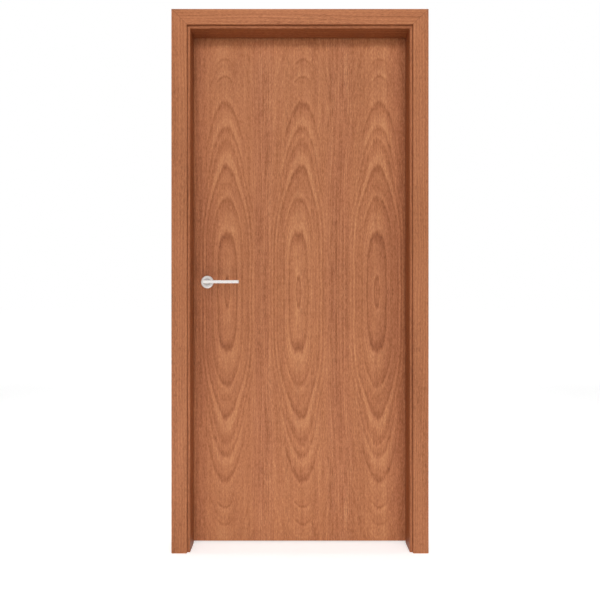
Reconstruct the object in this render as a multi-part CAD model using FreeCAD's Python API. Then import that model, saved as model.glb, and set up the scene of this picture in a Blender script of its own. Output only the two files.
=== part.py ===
import FreeCAD, Part
import math
import os
from FreeCAD import Vector

# A flush hollow core door hung in its lining of boards and stops, with flat mitred casings
# on both sides of the wall and a lever handle on round roses. Millimetres.
# +X runs to the hinge side, +Y away from the viewer, +Z up from the floor.
# The origin lies on the hinge jamb's wall face, at floor level, halfway through the wall.

# Leaf
leaf_width = 863.6
leaf_height = 2032.0
leaf_thickness = 35.0
skin_thickness = 3.0
stile_width = 32.0
top_rail_height = 32.0
bottom_rail_height = 60.0
lock_block_width = 80.0
lock_block_height = 300.0
slat_thickness = 4.0
slat_pitch = 150.0
latch_edge_bevel = 3.0
leaf_arris = 0.8

# Gaps round the closed leaf, and how far the stop laps over its edges
side_gap = 5.2
floor_gap = 6.0
stop_lap = 5.8

# Lining and casings
lining_depth = 116.0
lining_thickness = 19.0
stop_arris = 1.0
casing_width = 60.0
casing_thickness = 9.0
casing_setback = 11.0
casing_arris = 2.0

# Butt hinges
hinge_height = 89.0
hinge_plate_thickness = 3.0
hinge_plate_depth = 26.0
hinge_throw = 7.5
knuckle_count = 5
knuckle_gap = 0.4
pin_clearance = 0.05
pin_head_radius = 4.8
pin_tip_radius = 3.4
pin_head_height = 3.0
top_hinge_drop = 180.0
bottom_hinge_rise = 280.0

# Lever handle on round roses
lever_height = 1050.0
backset = 60.0
rose_diameter = 51.0
rose_thickness = 9.0
rose_edge_radius = 1.8
rose_edge_steps = 2
neck_diameter = 18.0
neck_clearance = 0.1
neck_end_gap = 0.5
neck_round_length = 20.0
bar_standoff = 46.0
bar_depth = 18.0
bar_height = 12.0
bar_reach = 132.0
bar_edge_chamfer = 0.8
spindle_width = 8.0
spindle_fit = 0.05
spindle_socket_depth = 30.0
spindle_hole_diameter = 14.0

# Tubular latch, drawn back flush with its forend, and the strike plate
forend_height = 57.0
forend_width = 25.0
forend_thickness = 3.0
latch_tube_diameter = 22.0
latch_tube_clearance = 0.2
latch_tube_tail = 16.0
bolt_height = 15.0
bolt_width = 11.0
bolt_length = 24.0
bolt_clearance = 0.3
strike_height = 57.0
strike_width = 28.0
strike_thickness = 2.0
strike_hole_height = 22.0
strike_hole_width = 16.0
strike_pocket_depth = 12.0

# Places that follow from those sizes
front_y = -lining_depth / 2
back_y = lining_depth / 2
leaf_front_y = back_y - leaf_thickness
leaf_middle_y = back_y - leaf_thickness / 2
stop_y = leaf_front_y - side_gap
stop_thickness = side_gap + stop_lap
stop_face_x = -lining_thickness - stop_thickness
frame_width = leaf_width + 2 * (side_gap + lining_thickness)
frame_centre_x = -frame_width / 2
leaf_bottom_z = floor_gap
leaf_top_z = leaf_bottom_z + leaf_height
rebate_top_z = leaf_top_z + side_gap
opening_top_z = leaf_top_z - stop_lap
lining_top_z = rebate_top_z + lining_thickness
hinge_edge_x = -lining_thickness - side_gap
latch_edge_x = hinge_edge_x - leaf_width
hinge_axis_x = -lining_thickness - side_gap / 2
hinge_axis_y = back_y + hinge_throw
barrel_radius = side_gap / 2 + hinge_plate_thickness
knuckle_bore_radius = barrel_radius - hinge_plate_thickness
spindle_x = latch_edge_x + backset

parts = {}


def prism_up(outline, z_low, z_high):
    """A plan outline of (x, y) corners, raised from z_low to z_high."""
    corners = [Vector(x, y, z_low) for x, y in outline]
    wire = Part.makePolygon(corners + corners[:1])
    return Part.Face(wire).extrude(Vector(0, 0, z_high - z_low))


def prism_back(outline, y_near, y_far):
    """An elevation outline of (x, z) corners, pushed from y_near to y_far."""
    corners = [Vector(x, y_near, z) for x, z in outline]
    wire = Part.makePolygon(corners + corners[:1])
    return Part.Face(wire).extrude(Vector(0, y_far - y_near, 0))


def prism_across(outline, x_left, x_right):
    """A section outline of (y, z) corners, drawn from x_left to x_right."""
    corners = [Vector(x_left, y, z) for y, z in outline]
    wire = Part.makePolygon(corners + corners[:1])
    return Part.Face(wire).extrude(Vector(x_right - x_left, 0, 0))


def block(x_range, y_range, z_range):
    """A plain block between three pairs of limits."""
    (x0, x1), (y0, y1), (z0, z1) = x_range, y_range, z_range
    return prism_up([(x0, y0), (x1, y0), (x1, y1), (x0, y1)], z0, z1)


def about(middle, size):
    """The limits of a size centred on a middle."""
    return (middle - size / 2, middle + size / 2)


def across_frame(shape):
    """The same shape on the other side of the doorway."""
    return shape.mirror(Vector(frame_centre_x, 0, 0), Vector(1, 0, 0))


def through_leaf(shape):
    """The same shape on the other face of the leaf."""
    return shape.mirror(Vector(0, leaf_middle_y, 0), Vector(0, 1, 0))


def latch_x(y):
    """Where the bevelled latch edge of the leaf stands at a depth y."""
    return latch_edge_x + (back_y - y) * math.tan(math.radians(latch_edge_bevel))


def hinge_bottoms():
    """The lower ends of the top, middle and bottom hinge."""
    top = leaf_top_z - top_hinge_drop - hinge_height
    bottom = leaf_bottom_z + bottom_hinge_rise
    return {"top": top, "middle": (top + bottom) / 2, "bottom": bottom}


# Lining: two jamb boards under a head board, with stops planted flush with their front edges
def make_jamb():
    return block((-lining_thickness, 0), (front_y, back_y), (0, rebate_top_z))


def make_head_jamb():
    return block((-frame_width, 0), (front_y, back_y), (rebate_top_z, lining_top_z))


def make_stops():
    """Three strips that fill the reveal in front of the leaf and lap over its edges."""
    plan = [
        (-lining_thickness, front_y),
        (-lining_thickness, stop_y),
        (stop_face_x + stop_arris, stop_y),
        (stop_face_x, stop_y - stop_arris),
        (stop_face_x, front_y + stop_arris),
        (stop_face_x + stop_arris, front_y),
    ]
    section = [
        (front_y, rebate_top_z),
        (stop_y, rebate_top_z),
        (stop_y, opening_top_z + stop_arris),
        (stop_y - stop_arris, opening_top_z),
        (front_y + stop_arris, opening_top_z),
        (front_y, opening_top_z + stop_arris),
    ]
    parts["hinge_side_stop"] = prism_up(plan, 0, opening_top_z)
    parts["latch_side_stop"] = across_frame(parts["hinge_side_stop"])
    parts["head_stop"] = prism_across(section, lining_thickness - frame_width, -lining_thickness)


def make_hinge_jamb(jamb):
    plate_y = (back_y - hinge_plate_depth, back_y)
    plate_x = (-lining_thickness, -lining_thickness + hinge_plate_thickness)
    for bottom in hinge_bottoms().values():
        jamb = jamb.cut(block(plate_x, plate_y, (bottom, bottom + hinge_height)))
    return jamb


def strike_limits(width, height, depth_from, depth_to):
    """Limits of a rectangle on the latch jamb's inner face, sunk between two depths."""
    face_x = -frame_width + lining_thickness
    x_range = (face_x - depth_to, face_x - depth_from)
    return x_range, about(leaf_middle_y, width), about(lever_height, height)


def make_latch_jamb(jamb):
    recess = block(*strike_limits(strike_width, strike_height, 0, strike_thickness))
    pocket_end = strike_thickness + strike_pocket_depth
    pocket = block(*strike_limits(strike_hole_width, strike_hole_height, 0, pocket_end))
    return across_frame(jamb).cut(recess).cut(pocket)


def make_strike_plate():
    plate = block(*strike_limits(strike_width, strike_height, 0, strike_thickness))
    hole = block(*strike_limits(strike_hole_width, strike_hole_height, 0, strike_thickness))
    return plate.cut(hole)


# Casings: flat boards with softened front arrises, mitred at the head
def casing_board(outline, y_wall, outward):
    """One board cut to an elevation outline, with its two long front arrises rounded."""
    y_face = y_wall + outward * casing_thickness
    xs = [x for x, z in outline]
    zs = [z for x, z in outline]
    length_is_up = max(zs) - min(zs) > max(xs) - min(xs)
    stock = block((min(xs), max(xs)), sorted((y_wall, y_face)), (min(zs), max(zs)))
    arrises = []
    for edge in stock.Edges:
        start, end = edge.Vertexes[0].Point, edge.Vertexes[-1].Point
        run = end - start
        along = abs(run.z) if length_is_up else abs(run.x)
        on_face = abs(start.y - y_face) < casing_arris / 10
        if on_face and abs(end.y - start.y) < casing_arris / 10 and along > casing_width:
            arrises.append(edge)
    stock = stock.makeFillet(casing_arris, arrises)
    return stock.common(prism_back(outline, y_wall, y_face))


def make_casings(side, y_wall, outward, inner_right, inner_top):
    """The hinge-side leg, latch-side leg and head of one side of the wall."""
    outer_right = inner_right + casing_width
    outer_top = inner_top + casing_width
    inner_left = 2 * frame_centre_x - inner_right
    outer_left = 2 * frame_centre_x - outer_right
    leg = [(inner_right, 0), (outer_right, 0), (outer_right, outer_top), (inner_right, inner_top)]
    head = [
        (inner_left, inner_top),
        (inner_right, inner_top),
        (outer_right, outer_top),
        (outer_left, outer_top),
    ]
    hinge_leg = casing_board(leg, y_wall, outward)
    parts[side + "_casing_hinge_side"] = hinge_leg
    parts[side + "_casing_latch_side"] = across_frame(hinge_leg)
    parts[side + "_casing_head"] = casing_board(head, y_wall, outward)


# Leaf: two skins on a frame of stiles and rails, with a lock block and cross slats
def leaf_slice(y_near, y_far, right_x):
    """Plan of a layer of the leaf that ends on the bevelled latch edge."""
    return [(right_x, y_near), (right_x, y_far), (latch_x(y_far), y_far), (latch_x(y_near), y_near)]


def skin_plan(y_face, y_inside):
    """Plan of a skin whose two long face edges have their arris taken off."""
    y_soft = y_face + math.copysign(leaf_arris, y_inside - y_face)
    return [
        (hinge_edge_x, y_inside),
        (hinge_edge_x, y_soft),
        (hinge_edge_x - leaf_arris, y_face),
        (latch_x(y_face) + leaf_arris, y_face),
        (latch_x(y_soft), y_soft),
        (latch_x(y_inside), y_inside),
    ]


core_near_y = leaf_front_y + skin_thickness
core_far_y = back_y - skin_thickness
core_left_x = latch_x(leaf_front_y) + stile_width
core_right_x = hinge_edge_x - stile_width
core_y = (core_near_y, core_far_y)


def leaf_hinge_recess():
    """The three mortises that take the hinge plates on the leaf's hinge edge."""
    plate_x = (hinge_edge_x - hinge_plate_thickness, hinge_edge_x)
    plate_y = (back_y - hinge_plate_depth, back_y)
    mortises = []
    for bottom in hinge_bottoms().values():
        mortises.append(block(plate_x, plate_y, (bottom, bottom + hinge_height)))
    return Part.makeCompound(mortises)


def spindle_hole():
    """The round hole for the spindle, right through the leaf."""
    start = Vector(spindle_x, leaf_front_y, lever_height)
    return Part.makeCylinder(spindle_hole_diameter / 2, leaf_thickness, start, Vector(0, 1, 0))


def forend_outline(depth_from, depth_to):
    """Plan of a strip that follows the bevelled latch edge, sunk between two depths."""
    y_near, y_far = about(leaf_middle_y, forend_width)
    return [
        (latch_x(y_near) + depth_from, y_near),
        (latch_x(y_near) + depth_to, y_near),
        (latch_x(y_far) + depth_to, y_far),
        (latch_x(y_far) + depth_from, y_far),
    ]


def latch_tube(diameter):
    """The latch's round body, from behind its forend to past the spindle."""
    length = backset + latch_tube_tail - forend_thickness
    start = Vector(latch_edge_x + forend_thickness, leaf_middle_y, lever_height)
    return Part.makeCylinder(diameter / 2, length, start, Vector(1, 0, 0))


def make_leaf():
    bore = latch_tube(latch_tube_diameter + 2 * latch_tube_clearance)
    recess = leaf_hinge_recess()
    forend_z = about(lever_height, forend_height)
    forend_mortise = prism_up(forend_outline(0, forend_thickness), *forend_z)
    leaf_z = (leaf_bottom_z, leaf_top_z)

    front = prism_up(skin_plan(leaf_front_y, core_near_y), *leaf_z)
    back = prism_up(skin_plan(back_y, core_far_y), *leaf_z)
    parts["front_skin"] = front.cut(spindle_hole())
    parts["back_skin"] = back.cut(spindle_hole()).cut(recess)

    hinge_stile = block((core_right_x, hinge_edge_x), core_y, leaf_z)
    latch_stile = prism_up(leaf_slice(core_near_y, core_far_y, core_left_x), *leaf_z)
    parts["hinge_stile"] = hinge_stile.cut(recess)
    parts["latch_stile"] = latch_stile.cut(forend_mortise).cut(bore)

    rail_x = (core_left_x, core_right_x)
    parts["top_rail"] = block(rail_x, core_y, (leaf_top_z - top_rail_height, leaf_top_z))
    parts["bottom_rail"] = block(rail_x, core_y, (leaf_bottom_z, leaf_bottom_z + bottom_rail_height))

    block_x = (core_left_x, core_left_x + lock_block_width)
    lock_block = block(block_x, core_y, about(lever_height, lock_block_height))
    parts["lock_block"] = lock_block.cut(bore).cut(spindle_hole())
    parts["core_slats"] = make_slats()


def make_slats():
    """Level slats that tie the two skins together, stopped short at the lock block."""
    low = leaf_bottom_z + bottom_rail_height
    high = leaf_top_z - top_rail_height
    bays = max(2, round((high - low) / slat_pitch))
    slats = []
    for i in range(1, bays):
        z = low + (high - low) * i / bays
        beside_block = abs(z - lever_height) < (lock_block_height + slat_thickness) / 2
        left = core_left_x + (lock_block_width if beside_block else 0)
        slats.append(block((left, core_right_x), core_y, about(z, slat_thickness)))
    return Part.makeCompound(slats)


# Hinges: two plates whose knuckles interleave on a loose pin
def hinge_plate(bottom, toward_frame, own_knuckles):
    """A plate let into the wood, rolled into knuckles round the pin. toward_frame is 1 or -1."""
    inner_x = hinge_axis_x + toward_frame * side_gap / 2
    outer_x = hinge_axis_x + toward_frame * barrel_radius
    plate_x = sorted((inner_x, outer_x))
    plate_end_y = hinge_axis_y - barrel_radius - knuckle_gap
    plate_y = (back_y - hinge_plate_depth, plate_end_y)
    plate = block(plate_x, plate_y, (bottom, bottom + hinge_height))
    knuckle_height = (hinge_height - (knuckle_count - 1) * knuckle_gap) / knuckle_count
    for i in own_knuckles:
        z = bottom + i * (knuckle_height + knuckle_gap)
        centre = Vector(hinge_axis_x, hinge_axis_y, z)
        roll = Part.makeCylinder(barrel_radius, knuckle_height, centre)
        arm = block(plate_x, (plate_end_y, hinge_axis_y), (z, z + knuckle_height))
        bore = Part.makeCylinder(knuckle_bore_radius, knuckle_height, centre)
        plate = plate.fuse(roll.fuse(arm).cut(bore))
    return plate.removeSplitter()


def hinge_pin(bottom):
    """A loose pin with a tapered button at each end."""
    radius = knuckle_bore_radius - pin_clearance
    low = bottom - pin_head_height
    top = bottom + hinge_height
    high = top + pin_head_height
    profile = [
        (0, low),
        (pin_tip_radius, low),
        (pin_head_radius, bottom),
        (radius, bottom),
        (radius, top),
        (pin_head_radius, top),
        (pin_tip_radius, high),
        (0, high),
    ]
    corners = [Vector(hinge_axis_x + r, hinge_axis_y, z) for r, z in profile]
    wire = Part.makePolygon(corners + corners[:1])
    axis_point = Vector(hinge_axis_x, hinge_axis_y, 0)
    return Part.Face(wire).revolve(axis_point, Vector(0, 0, 1), 360)


def make_hinges():
    frame_knuckles = range(0, knuckle_count, 2)
    leaf_knuckles = range(1, knuckle_count, 2)
    for place, bottom in hinge_bottoms().items():
        parts[place + "_hinge_frame_plate"] = hinge_plate(bottom, 1, frame_knuckles)
        parts[place + "_hinge_leaf_plate"] = hinge_plate(bottom, -1, leaf_knuckles)
        parts[place + "_hinge_pin"] = hinge_pin(bottom)


# Latch: a forend let into the leaf's edge, a tube behind it and the bolt inside
def make_latch():
    forend = prism_up(forend_outline(0, forend_thickness), *about(lever_height, forend_height))
    tube_limits = block(
        (latch_edge_x, spindle_x + latch_tube_tail),
        about(leaf_middle_y, latch_tube_diameter),
        about(lever_height, latch_tube_diameter),
    )
    behind_forend = tube_limits.cut(
        prism_up(leaf_slice(leaf_front_y, back_y, latch_x(leaf_front_y)), 0, lining_top_z)
    )
    tube = latch_tube(latch_tube_diameter).common(behind_forend)
    channel_end = latch_edge_x + bolt_length + bolt_clearance
    channel = block(
        (latch_edge_x - forend_thickness, channel_end),
        about(leaf_middle_y, bolt_width + 2 * bolt_clearance),
        about(lever_height, bolt_height + 2 * bolt_clearance),
    )
    body = forend.fuse(tube).cut(channel).cut(spindle_hole())
    parts["latch_case"] = body.removeSplitter()
    y_near, y_far = about(leaf_middle_y, bolt_width)
    bolt_plan = [
        (latch_x(y_near), y_near),
        (latch_edge_x + bolt_length, y_near),
        (latch_edge_x + bolt_length, y_far),
        (latch_x(y_far), y_far),
    ]
    parts["latch_bolt"] = prism_up(bolt_plan, *about(lever_height, bolt_height))


# Handle: a rose on each face, and a lever whose round neck tapers into a square-cut bar
def make_rose():
    """A round rose with a softened rim, bored for the lever's neck. It stands on the front face."""
    bore = neck_diameter / 2 + neck_clearance
    rim = rose_diameter / 2
    profile = [(bore, 0), (rim, 0)]
    for i in range(rose_edge_steps + 1):
        turn = math.pi / 2 * i / rose_edge_steps
        inward = rose_edge_radius * (1 - math.cos(turn))
        upward = rose_edge_radius * (1 - math.sin(turn))
        profile.append((rim - inward, rose_thickness - upward))
    profile.append((bore, rose_thickness))
    corners = [Vector(spindle_x + r, leaf_front_y - h, lever_height) for r, h in profile]
    wire = Part.makePolygon(corners + corners[:1])
    centre = Vector(spindle_x, leaf_front_y, lever_height)
    return Part.Face(wire).revolve(centre, Vector(0, 1, 0), 360)


def make_neck(y_start, y_turn, y_bar):
    """A round neck with two flats that taper from its full height to the bar's."""
    radius = neck_diameter / 2
    half_bar = bar_height / 2
    start = Vector(spindle_x, y_start, lever_height)
    stem = Part.makeCylinder(radius, y_start - y_bar, start, Vector(0, -1, 0))
    section = [(y_start, radius), (y_turn, radius), (y_bar, half_bar)]
    section += [(y, -half_height) for y, half_height in reversed(section)]
    wedge = [(y, lever_height + half_height) for y, half_height in section]
    return stem.common(prism_across(wedge, spindle_x - radius, spindle_x + radius))


def make_lever():
    """The front lever: bar to the hinge side, neck into the rose, square socket for the spindle."""
    neck_start_y = leaf_front_y - neck_end_gap
    neck_turn_y = leaf_front_y - neck_round_length
    bar_back_y = leaf_front_y - bar_standoff
    bar_front_y = bar_back_y - bar_depth
    bar = block(
        (spindle_x - neck_diameter / 2, spindle_x + bar_reach),
        (bar_front_y, bar_back_y),
        about(lever_height, bar_height),
    )
    softened = [edge for edge in bar.Edges if edge.CenterOfMass.y < bar_back_y - bar_edge_chamfer]
    bar = bar.makeChamfer(bar_edge_chamfer, softened)
    lever = bar.fuse(make_neck(neck_start_y, neck_turn_y, bar_back_y))
    socket_width = spindle_width + 2 * spindle_fit
    socket = block(
        about(spindle_x, socket_width),
        (neck_start_y - spindle_socket_depth, neck_start_y),
        about(lever_height, socket_width),
    )
    return lever.cut(socket).removeSplitter()


def make_handle():
    parts["front_rose"] = make_rose()
    parts["back_rose"] = through_leaf(parts["front_rose"])
    parts["front_lever"] = make_lever()
    parts["back_lever"] = through_leaf(parts["front_lever"])
    reach = leaf_thickness / 2 + neck_end_gap + spindle_socket_depth
    parts["spindle"] = block(
        about(spindle_x, spindle_width),
        (leaf_middle_y - reach, leaf_middle_y + reach),
        about(lever_height, spindle_width),
    )


parts["head_jamb"] = make_head_jamb()
parts["hinge_jamb"] = make_hinge_jamb(make_jamb())
parts["latch_jamb"] = make_latch_jamb(make_jamb())
parts["strike_plate"] = make_strike_plate()
make_stops()
make_casings("front", front_y, -1, stop_face_x + casing_setback, opening_top_z + casing_setback)
make_casings("back", back_y, 1, casing_setback - lining_thickness, rebate_top_z + casing_setback)
make_leaf()
make_hinges()
make_latch()
make_handle()

os.makedirs("parts", exist_ok=True)
for node, shape in parts.items():
    shape.exportStep("parts/" + node + ".step")
    print(node, len(shape.Solids), "solids", round(shape.Volume / 1000, 1), "cm3", shape.isValid())
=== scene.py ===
# %% [markdown]
# # A flush veneered door, finished for the studio
# The door's solids arrive at their real size: boards, skins, hinges, latch and handle. What is left is the
# finisher's work: crown-cut veneer on the leaf, straight veneer on the frame, satin lacquer, brushed steel
# and the small screws. Loading comes first.

# %% Load the solids
import math

import bmesh
import bpy
from mathutils import Matrix, Vector


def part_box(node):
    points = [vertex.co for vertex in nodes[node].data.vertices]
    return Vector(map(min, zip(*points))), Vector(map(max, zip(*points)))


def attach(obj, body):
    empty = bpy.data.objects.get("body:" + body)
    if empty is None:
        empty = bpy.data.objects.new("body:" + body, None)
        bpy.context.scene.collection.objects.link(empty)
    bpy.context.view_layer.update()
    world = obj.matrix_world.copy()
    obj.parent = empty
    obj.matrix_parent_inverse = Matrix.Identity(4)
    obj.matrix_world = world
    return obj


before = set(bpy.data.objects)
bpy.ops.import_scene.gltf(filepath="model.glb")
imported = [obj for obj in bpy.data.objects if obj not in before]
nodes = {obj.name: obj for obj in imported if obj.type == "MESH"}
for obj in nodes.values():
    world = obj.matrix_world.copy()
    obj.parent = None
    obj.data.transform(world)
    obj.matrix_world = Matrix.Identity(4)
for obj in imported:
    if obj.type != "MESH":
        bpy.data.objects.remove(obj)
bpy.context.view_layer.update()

# %% [markdown]
# ## The camera
# The picture was taken square on, with upright edges that stay upright, as an architect's shift lens draws
# them. A camera that looks up or down would make the jambs lean together, so this one stays level and the
# frame slides instead. The distance follows from how much of the reveal shows on each side of the leaf.

# %% Stand the camera
IMAGE_SIDE = 600
FOOT_ROW = 553.5
LENS, SENSOR = 30.6, 36.0
STAND_BACK, STAND_LEFT, EYE_HEIGHT = 1.969, 0.033, 1.0

casing_low, casing_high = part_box("front_casing_head")
metres_per_pixel = STAND_BACK * SENSOR / LENS / IMAGE_SIDE
horizon_row = FOOT_ROW - EYE_HEIGHT / metres_per_pixel
door_centre_x = (casing_low.x + casing_high.x) / 2

camera = bpy.data.objects.new("camera", bpy.data.cameras.new("camera"))
camera.data.lens, camera.data.sensor_width = LENS, SENSOR
camera.data.shift_x = STAND_LEFT / metres_per_pixel / IMAGE_SIDE
camera.data.shift_y = (horizon_row - IMAGE_SIDE / 2) / IMAGE_SIDE
camera.location = (door_centre_x - STAND_LEFT, casing_low.y - STAND_BACK, EYE_HEIGHT)
camera.rotation_euler = (math.pi / 2, 0, 0)
bpy.context.scene.collection.objects.link(camera)
bpy.context.scene.camera = camera
bpy.context.scene.view_settings.view_transform = "Standard"
print("horizon on row", round(horizon_row, 1), "shift", round(camera.data.shift_y, 3))

# %% [markdown]
# ## A bench for node trees
# Materials are easier to read as short sums than as long lists of links. This small bench lays one node per
# call: a number or a colour is set on the socket, and another node's output is linked to it. Noise takes its
# waves to the metre along each axis, because grain is short across a board and long down it.

# %% The node bench
class NodeBench:
    """Lays nodes in one tree."""

    def __init__(self, tree):
        self.tree = tree

    def feed(self, socket, value):
        if isinstance(value, bpy.types.NodeSocket):
            self.tree.links.new(value, socket)
        else:
            socket.default_value = value

    def lay(self, kind, inputs=(), **settings):
        node = self.tree.nodes.new(kind)
        for name, value in settings.items():
            setattr(node, name, value)
        for name, value in dict(inputs).items():
            self.feed(node.inputs[name], value)
        return node

    def math(self, operation, *values):
        node = self.lay("ShaderNodeMath", operation=operation)
        for socket, value in zip(node.inputs, values):
            self.feed(socket, value)
        return node.outputs[0]

    def vector_math(self, operation, *values):
        node = self.lay("ShaderNodeVectorMath", operation=operation)
        for socket, value in zip(node.inputs, values):
            self.feed(socket, value)
        return node.outputs["Value" if operation == "LENGTH" else "Vector"]

    def split(self, vector):
        return self.lay("ShaderNodeSeparateXYZ", {"Vector": vector}).outputs

    def join(self, x, y, z):
        return self.lay("ShaderNodeCombineXYZ", {"X": x, "Y": y, "Z": z}).outputs[0]

    def turn(self, place):
        """A place turned so that its Z runs along the piece's X."""
        x, y, z = self.split(place)
        return self.join(z, y, x)

    def noise(self, place, waves, detail=0.0, roughness=0.5):
        """Noise with so many waves to the metre along each axis."""
        stretched = self.vector_math("MULTIPLY", place, waves)
        inputs = {"Vector": stretched, "Scale": 1.0, "Detail": detail, "Roughness": roughness}
        return self.lay("ShaderNodeTexNoise", inputs).outputs["Fac"]

    def noise_line(self, distance, waves, detail=0.0):
        """Noise along one distance."""
        inputs = {"W": self.math("MULTIPLY", distance, waves), "Scale": 1.0, "Detail": detail}
        return self.lay("ShaderNodeTexNoise", inputs, noise_dimensions="1D").outputs["Fac"]

    def slope(self, value, low, high, start=0.0, end=1.0, shape="LINEAR"):
        """A change from start to end as the value goes from low to high."""
        inputs = {"Value": value, "From Min": low, "From Max": high, "To Min": start, "To Max": end}
        return self.lay("ShaderNodeMapRange", inputs, interpolation_type=shape).outputs[0]

    def step(self, value, low, high, start=0.0, end=1.0):
        """The same change, made smooth at both ends."""
        return self.slope(value, low, high, start, end, "SMOOTHSTEP")

    def swing(self, value, amount, onto=0.0):
        """Adds so much of a value's swing about its middle, 0.5, onto a tone or a place."""
        return self.math("MULTIPLY_ADD", self.math("SUBTRACT", value, 0.5), amount, onto)

    def ramp(self, value, stops):
        """A colour ramp. stops is a list of (position, colour), and a number stands for a grey."""
        node = self.lay("ShaderNodeValToRGB", {"Fac": value})
        elements = node.color_ramp.elements
        while len(elements) < len(stops):
            elements.new(0.5)
        for element, (position, colour) in zip(elements, stops):
            element.position = position
            element.color = colour if isinstance(colour, tuple) else (colour, colour, colour, 1)
        return node.outputs["Color"]

    def mix(self, share, first, second, blend="MIX"):
        node = self.lay("ShaderNodeMix", data_type="RGBA", blend_type=blend)
        for number, value in ((0, share), (6, first), (7, second)):
            self.feed(node.inputs[number], value)
        return node.outputs[2]

    def bump(self, height, strength, distance):
        inputs = {"Height": height, "Strength": strength, "Distance": distance}
        return self.lay("ShaderNodeBump", inputs).outputs["Normal"]

    def group(self, name, **inputs):
        node = self.lay("ShaderNodeGroup", node_tree=bpy.data.node_groups[name])
        for title, value in inputs.items():
            self.feed(node.inputs[title], value)
        return node.outputs


print("bench ready")

# %% [markdown]
# ## Groups and finishes
# An effect that several finishes share is a node group, built once and placed in each of them with its own
# values. A finish is a material: its shader stays in the material itself, and the groups only feed it. The
# place of a point is read in the piece's own coordinates, so the grain moves with the leaf as it swings.

# %% New groups, new finishes
def new_group(name, inputs, outputs):
    """An empty node group. Returns its bench, what it is given and what it gives."""
    tree = bpy.data.node_groups.new(name, "ShaderNodeTree")
    for title, kind in inputs.items():
        tree.interface.new_socket(title, in_out="INPUT", socket_type="NodeSocket" + kind)
    for title, kind in outputs.items():
        tree.interface.new_socket(title, in_out="OUTPUT", socket_type="NodeSocket" + kind)
    given = tree.nodes.new("NodeGroupInput").outputs
    gives = tree.nodes.new("NodeGroupOutput").inputs
    return NodeBench(tree), given, gives


def new_finish(name):
    """An empty material, with its bench, its shader and the place of each point on the piece."""
    material = bpy.data.materials.new(name)
    material.use_nodes = True
    bench = NodeBench(material.node_tree)
    shader = material.node_tree.nodes["Principled BSDF"]
    place = bench.lay("ShaderNodeTexCoord").outputs["Object"]
    return material, bench, shader, place


def dress(material, *names):
    for name in names:
        for slot in nodes[name].material_slots:
            slot.material = material


print("ready to dress", len(nodes), "nodes")

# %% [markdown]
# ## Light
# A catalogue picture of a door has one broad soft light behind the camera and a little light from all round,
# so the face is even and the reveals fall dark. A sun lamp would draw hard edges there, so every light is a
# panel. A low strip and a high one keep the foot and the head as bright as the middle, and the same three
# stand behind the door. A narrow panel at each side stands in line with the wall, so that it lights the
# edges but can't shine into the reveals. One panel overhead lights the floor, and the door's shadow falls
# there. A row gives how far a panel stands from the wall, how high its middle is, its width, its height and
# its watts.

# %% Light panels
FACE_PANELS = [
    ("tall_panel", 6.0, 2.55, 5.2, 5.0, 185),
    ("low_panel", 1.2, 0.15, 1.0, 0.2, 3.5),
    ("high_panel", 1.9, 2.85, 2.4, 0.5, 16),
]
BACK_SHARE = 0.85
EDGE_DISTANCE, EDGE_PANEL = 5.5, (1.6, 0.5, 3.2, 80)
OVERHEAD_PANEL = (5.2, 3.2, 3.2, 130)


def light_panel(name, side_step, back_step, rise, width, height, watts):
    """A soft panel that faces the door from some steps off its middle. With no step it looks down."""
    lamp = bpy.data.lights.new(name, "AREA")
    lamp.shape, lamp.size, lamp.size_y, lamp.energy = "RECTANGLE", width, height, watts
    panel = bpy.data.objects.new(name, lamp)
    panel.location = (door_centre_x + side_step, back_step, rise)
    away = Vector((side_step, back_step, 0)) if side_step or back_step else Vector((0, 0, 1))
    panel.rotation_euler = away.to_track_quat("Z", "Y").to_euler()
    panel.visible_camera = panel.visible_glossy = False
    bpy.context.scene.collection.objects.link(panel)


for face, side, share in (("front", -1, 1.0), ("back", 1, BACK_SHARE)):
    for name, distance, rise, width, height, watts in FACE_PANELS:
        light_panel(f"{name}_{face}", 0, side * distance, rise, width, height, watts * share)
for edge, side in (("left", -1), ("right", 1)):
    light_panel(f"edge_panel_{edge}", side * EDGE_DISTANCE, 0, *EDGE_PANEL)
light_panel("overhead_panel", 0, 0, *OVERHEAD_PANEL)
print("lit by", len(bpy.data.lights), "panels")

# %% [markdown]
# ## A white world
# The background is plain white. A world bright enough for that would wash out the reveals, so Light Path
# shows the white only to the camera, to polished metal and through glass, and the wood gets a dim fill. What
# metal sees also dims overhead, as a studio's ceiling does, so that round steel keeps its shape.

# %% World
WHITE = (1, 1, 1, 1)
FILL_LEVEL = 0.07
CEILING_LEVEL = 0.45
CEILING_STARTS, CEILING_FULL = 0.1, 0.9


def seen_directly(bench):
    """A mask of the rays from the camera, from polished metal and through glass."""
    path = bench.lay("ShaderNodeLightPath").outputs
    metal_or_glass = bench.math("MAXIMUM", path["Is Glossy Ray"], path["Is Transmission Ray"])
    return bench.math("MAXIMUM", path["Is Camera Ray"], metal_or_glass)


def white_world():
    world = bpy.data.worlds.new("studio_world")
    world.use_nodes = True
    tree = world.node_tree
    bench = NodeBench(tree)
    fill = tree.nodes["Background"]
    bench.feed(fill.inputs["Color"], WHITE)
    bench.feed(fill.inputs["Strength"], FILL_LEVEL)
    heading = bench.split(bench.lay("ShaderNodeTexCoord").outputs["Generated"])
    ceiling = bench.slope(heading["Z"], CEILING_STARTS, CEILING_FULL, 1.0, CEILING_LEVEL)
    to_camera = bench.lay("ShaderNodeLightPath").outputs["Is Camera Ray"]
    level = bench.math("MAXIMUM", ceiling, to_camera)
    white = bench.lay("ShaderNodeBackground", {"Color": WHITE, "Strength": level})
    choices = {0: seen_directly(bench), 1: fill.outputs[0], 2: white.outputs[0]}
    choose = bench.lay("ShaderNodeMixShader", choices)
    bench.feed(tree.nodes["World Output"].inputs["Surface"], choose.outputs[0])
    bpy.context.scene.world = world


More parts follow.
